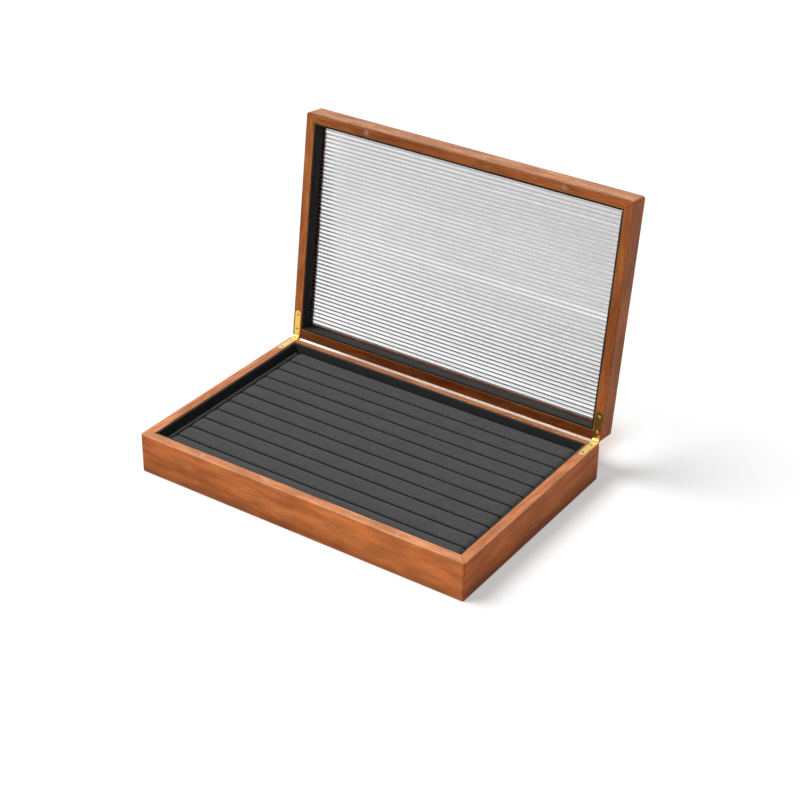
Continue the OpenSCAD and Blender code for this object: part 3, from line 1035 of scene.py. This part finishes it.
class DISPLAY_OT_linings(bpy.types.Operator):
    """Makes the fabric-covered boards inside the rails"""

    bl_idname = "display_box.linings"
    bl_label = "Linings"

    def execute(self, context):
        tint = context.scene.box_fabric.lining
        covers = {}
        # Painted light on the base linings' top edge, painted shade on the lid linings' free edge
        for part, factor in (("base", 1.7), ("lid", 0.4)):
            low, high = shut_box(f"{part}_lining_left", part == "lid")
            free = low.z if part == "lid" else high.z
            covers[part] = microfibre(f"{part}_lining_cover", tint, part == "lid", edge=(free, factor))
        for part, made in covers.items():
            for number, side in enumerate(("front", "back", "left", "right")):
                self.line(part, side, number, made)
        return {"FINISHED"}

    def line(self, part, side, number, made):
        node = f"{part}_lining_{side}"
        low, high = shut_box(node, part == "lid")
        size = high - low
        thin = 1 if side in ("front", "back") else 0
        steps = [3 * MM] * 3
        steps[thin] = 0.4 * MM
        mesh = block(size, steps, (0.45 * MM,) * 3, flat_below=False)
        mesh = subdivided(mesh, 1)
        body = points(mesh)
        inside = -1 if side in ("back", "right") else 1
        for i, spot in enumerate(body):
            wave = noise.noise(Vector((spot[1 - thin] / 0.03, spot[2] / 0.016, number * 9.0)))
            body[i, thin] += inside * (0.09 + 0.09 * wave) * MM
        body += np.array((low + high) / 2)
        set_points(mesh, body)
        if part == "lid":
            mesh.transform(OPENING)
        piece = new_piece(f"{part}_lining_cover_{side}", mesh, made, part, [node])


class DISPLAY_OT_bottom(bpy.types.Operator):
    """Dresses the bottom panel, its felt and the board under the rolls"""

    bl_idname = "display_box.bottom"
    bl_label = "Bottom and board"

    def execute(self, context):
        give("base_panel", plies("bottom_plywood", colour("c9a878"), colour("9c7648")))
        give("insert_board", plies("insert_plywood", colour("5a4d40"), colour("3c332b")))
        made = felt("pressed_felt", context.scene.box_fabric.felt)
        low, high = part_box("base_felt")
        size = high - low
        mesh = block(size, (4 * MM, 4 * MM, 0.4 * MM), (0.25 * MM,) * 3, flat_below=False)
        for face in mesh.polygons:
            face.use_smooth = True
        body = points(mesh) + np.array((low + high) / 2)
        set_points(mesh, body)
        piece = new_piece("underside_felt", mesh, made, "base", ["base_felt"])
        return {"FINISHED"}


class DISPLAY_OT_hinges(bpy.types.Operator):
    """Gives the hinges and their screws their brass"""

    bl_idname = "display_box.hinges"
    bl_label = "Brass hinges"

    def execute(self, context):
        looks = context.scene.box_metal
        leaf = {
            "base": metal("brass_base", looks.brass, 0.45, lacquer=0.5),
            "lid": metal("brass_lid", looks.lid_leaf_brass, 0.2, True),
        }
        for side in ("left", "right"):
            for part, made in leaf.items():
                give(f"hinge_{side}_{part}_leaf", made)
                node = f"hinge_{side}_{part}_screws"
                low, high = shut_box(node, part == "lid")
                radius = (high.x - low.x) / 2
                middle = (low + high) / 2
                ends = [Vector((middle.x, y, 0)) for y in (low.y + radius, high.y - radius)]
                # The dark middle of a screw head is painted shade of its recess
                hollow = 0.38 if part == "lid" else 0.25
                heads = (ends, radius, hollow, 0.25)
                give(node, metal(f"screw_{side}_{part}", looks.brass, 0.25, part == "lid", heads, 0.1))
            give(f"hinge_{side}_pin", leaf["base"])
        return {"FINISHED"}


class DISPLAY_OT_magnets(bpy.types.Operator):
    """Gives the magnets their plating"""

    bl_idname = "display_box.magnets"
    bl_label = "Magnets"

    def execute(self, context):
        looks = context.scene.box_metal
        for part in ("base", "lid"):
            for side in ("left", "right"):
                node = f"{part}_magnet_{side}"
                low, high = shut_box(node, part == "lid")
                # Lit and shaded copies of one plating: lighter on the base, darker on the lid
                tint = looks.steel if part == "lid" else looks.lit_plating
                # A hollow below 0 leaves the middle light
                heads = ([(low + high) / 2], (high.x - low.x) / 2, -1, 0.7)
                give(node, metal(f"plating_{part}_{side}", tint, 0.5, part == "lid", heads, 0.6))
        return {"FINISHED"}


class DISPLAY_OT_stage(bpy.types.Operator):
    """Sets up the floor, the light and the camera"""

    bl_idname = "display_box.stage"
    bl_label = "Stage"

    def execute(self, context):
        looks = context.scene.box_stage
        self.floor(looks)
        self.light(looks)
        self.camera()
        return {"FINISHED"}

    def floor(self, looks):
        reach = 8.0
        bm = bmesh.new()
        bmesh.ops.create_grid(bm, x_segments=8, y_segments=8, size=reach)
        mesh = bpy.data.meshes.new("floor")
        bm.to_mesh(mesh)
        bm.free()
        floor = placed("floor", mesh)
        made, tree = material("pale_floor")
        spot = tree.split(tree.node("ShaderNodeTexCoord", None, None, "Object"))
        # A shade behind the case, which fades at its ends and further back
        near = tree.between(abs(spot), CASE_W / 2, CASE_W / 2 - 0.03)
        behind = spot.other("Y") - CASE_D / 2
        near = near * tree.between(behind, 0.12, 0.05) * tree.between(behind, -0.01, 0)
        body = tree.node("ShaderNodeBsdfDiffuse", None, {"Color": tree.mix(near, looks.floor, looks.shade)})
        glow = {"Color": tree.mix(near, (1, 1, 1), (0.52, 0.48, 0.44)), "Strength": seen(tree) * looks.glow}
        light = tree.node("ShaderNodeEmission", None, glow)
        lit = tree.node("ShaderNodeAddShader", None, {0: body, 1: light})
        white = tree.node("ShaderNodeEmission", None, {"Strength": PANEL_WHITE})
        glazed = tree.node("ShaderNodeLightPath", None, None, "Is Transmission Ray") * seen(tree)
        shown = {0: glazed * PANEL_SHARE, 1: lit, 2: white}
        tree.finish(tree.node("ShaderNodeMixShader", None, shown))
        mesh.materials.append(made)

    def light(self, looks):
        key = bpy.data.lights.new("key", "SUN")
        key.energy = looks.key
        key.angle = looks.spread
        lamp = placed("key", key)
        lamp.rotation_mode = "QUATERNION"
        lamp.rotation_quaternion = KEY_FROM.to_track_quat("Z", "Y")

        world = bpy.data.worlds.new("studio")
        world.use_nodes = True
        # The fill is even, so rays that leave the scene gather it with less noise than aimed ones
        world.cycles.sampling_method = "NONE"
        world.node_tree.nodes.clear()
        bpy.context.scene.world = world
        tree = Tree(world.node_tree)
        around = tree.node("ShaderNodeTexCoord", None, None, "Generated")
        up = tree.split(around).other("Z")
        path = tree.node("ShaderNodeLightPath")
        mirrored = path.other("Is Glossy Ray")
        shown = tree.between(up, 0.35, 0.8, 1, 0.35) * mirrored + (1 - mirrored)
        shown = shown + path.other("Is Transmission Ray") * 0.6
        view = tree.node("ShaderNodeBackground", None, {"Color": (1, 1, 1), "Strength": shown})
        fill = tree.node("ShaderNodeBackground", None, {"Color": (1, 1, 1), "Strength": looks.fill})
        both = tree.node("ShaderNodeMixShader", None, {0: seen(tree), 1: fill, 2: view})
        tree.node("ShaderNodeOutputWorld", None, {"Surface": both})

    def camera(self):
        bearing, lift, roll = (math.radians(x) for x in CAMERA_ANGLES)
        flat = Vector((math.sin(bearing), -math.cos(bearing), 0)) * math.cos(lift)
        back = flat + Vector((0, 0, math.sin(lift)))
        level = Vector((0, 0, 1)).cross(back).normalized()
        upright = back.cross(level)
        right = level * math.cos(roll) + upright * math.sin(roll)
        above = upright * math.cos(roll) - level * math.sin(roll)
        data = bpy.data.cameras.new("camera")
        data.sensor_width = 36
        data.lens = CAMERA_LENS
        camera = placed("camera", data)
        turned = Matrix((right, above, back)).transposed().to_4x4()
        camera.matrix_world = Matrix.Translation(CAMERA_TARGET + back * CAMERA_DISTANCE) @ turned
        bpy.context.scene.camera = camera


def seen(tree):
    """1 on rays that the camera sends, also by way of a mirror or glass."""
    path = tree.node("ShaderNodeLightPath")
    straight = path + path.other("Is Glossy Ray") + path.other("Is Transmission Ray")
    return straight.maths("MINIMUM", straight, 1) * (path.other("Diffuse Depth") < 0.5)


class DISPLAY_PT_panel(bpy.types.Panel):
    """Lists the display box's pieces and their settings"""

    bl_idname = "DISPLAY_PT_panel"
    bl_label = "Display Box"
    bl_space_type = "VIEW_3D"
    bl_region_type = "UI"
    bl_category = "Display Box"

    def draw(self, context):
        scene = context.scene
        for name in GROUPS:
            looks = getattr(scene, name)
            for setting in looks.bl_rna.properties:
                if setting.identifier not in ("name", "rna_type"):
                    self.layout.prop(looks, setting.identifier)
        for kind in STEPS:
            self.layout.operator(kind.bl_idname)


GROUPS = {
    "box_wood": WoodLooks,
    "box_fabric": FabricLooks,
    "box_panel": PanelLooks,
    "box_metal": MetalLooks,
    "box_stage": StageLooks,
}
STEPS = [
    DISPLAY_OT_rails,
    DISPLAY_OT_panel,
    DISPLAY_OT_rolls,
    DISPLAY_OT_cheeks,
    DISPLAY_OT_linings,
    DISPLAY_OT_bottom,
    DISPLAY_OT_hinges,
    DISPLAY_OT_magnets,
    DISPLAY_OT_stage,
]


def register():
    for kind in [*GROUPS.values(), *STEPS, DISPLAY_PT_panel]:
        bpy.utils.register_class(kind)
    for name, kind in GROUPS.items():
        setattr(bpy.types.Scene, name, bpy.props.PointerProperty(type=kind))


def unregister():
    for name in GROUPS:
        delattr(bpy.types.Scene, name)
    for kind in [DISPLAY_PT_panel, *reversed(STEPS), *reversed(GROUPS.values())]:
        bpy.utils.unregister_class(kind)


def main():
    register()
    bpy.context.scene.view_settings.view_transform = "Standard"
    for kind in STEPS:
        group, name = kind.bl_idname.split(".")
        getattr(getattr(bpy.ops, group), name)()


if __name__ == "__main__":
    main()
